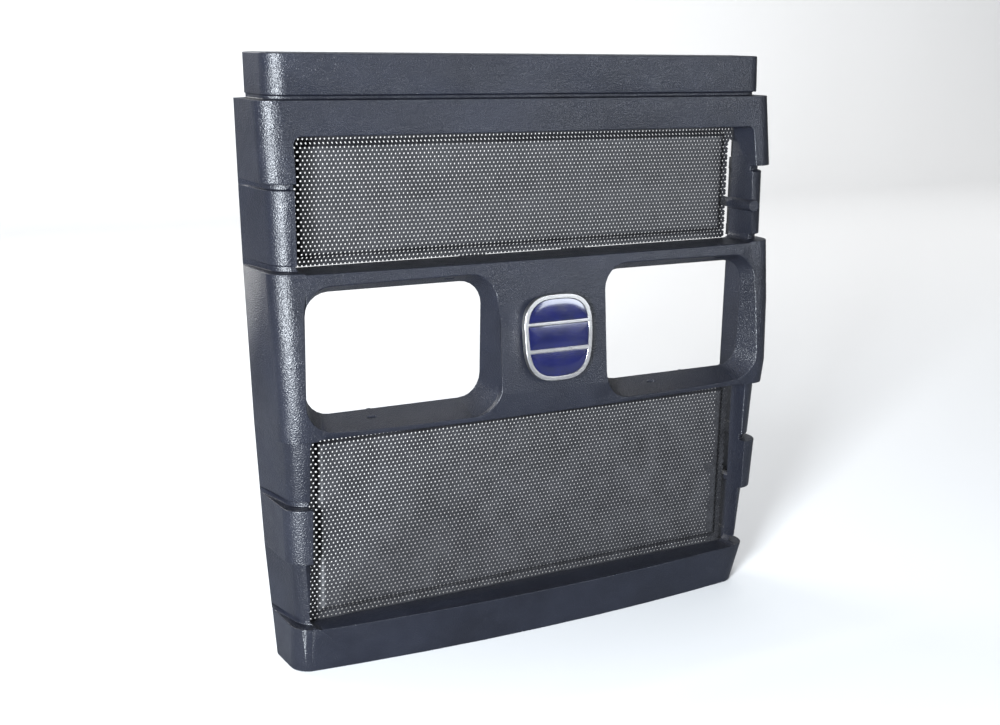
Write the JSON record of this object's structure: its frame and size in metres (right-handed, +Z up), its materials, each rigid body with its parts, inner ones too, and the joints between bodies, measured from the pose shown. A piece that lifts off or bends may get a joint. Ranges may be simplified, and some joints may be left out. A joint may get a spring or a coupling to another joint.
{
  "type": "front grille",
  "caption": "Tall tractor bonnet front grille: moulded frame with two lamp openings, two black perforated panels behind its windows, and an oval-square badge.",
  "frame": {"origin": "on the surface the grille stands on, at the centre of its width and depth", "axes": "+Z up, the front faces -Y, +X across"},
  "size_m": [0.5992, 0.1158, 0.602],
  "materials": {
    "frame_plastic": "charcoal moulded plastic with a fine grain, semi-gloss",
    "panel_sheet": "black coated perforated steel sheet",
    "badge_chrome": "satin bright metal",
    "badge_enamel": "dark blue poured resin, glossy",
    "screw_steel": "bright steel",
    "washer_zinc": "zinc-plated steel"
  },
  "bodies": {
    "frame": {"grille_frame": "frame_plastic", "badge_body": "badge_chrome", "badge_inlay_top": "badge_enamel", "badge_inlay_middle": "badge_enamel", "badge_inlay_bottom": "badge_enamel", "badge_stud_left": "screw_steel", "badge_stud_right": "screw_steel", "badge_washer_left": "washer_zinc", "badge_washer_right": "washer_zinc", "badge_nut_left": "washer_zinc", "badge_nut_right": "washer_zinc"},
    "upper_panel": {"upper_mesh": "panel_sheet", "upper_screw_1": "screw_steel", "upper_screw_2": "screw_steel", "upper_screw_3": "screw_steel", "upper_screw_4": "screw_steel", "upper_washer_1": "washer_zinc", "upper_washer_2": "washer_zinc", "upper_washer_3": "washer_zinc", "upper_washer_4": "washer_zinc"},
    "lower_panel": {"lower_mesh": "panel_sheet", "lower_screw_1": "screw_steel", "lower_screw_2": "screw_steel", "lower_screw_3": "screw_steel", "lower_screw_4": "screw_steel", "lower_washer_1": "washer_zinc", "lower_washer_2": "washer_zinc", "lower_washer_3": "washer_zinc", "lower_washer_4": "washer_zinc"}
  },
  "joints": [
    {"name": "upper_panel_off", "type": "slide", "parent": "frame", "child": "upper_panel", "axis": [0, 1, 0], "range_m": [0, 0.12]},
    {"name": "lower_panel_off", "type": "slide", "parent": "frame", "child": "lower_panel", "axis": [0, 1, 0], "range_m": [0, 0.12]}
  ]
}
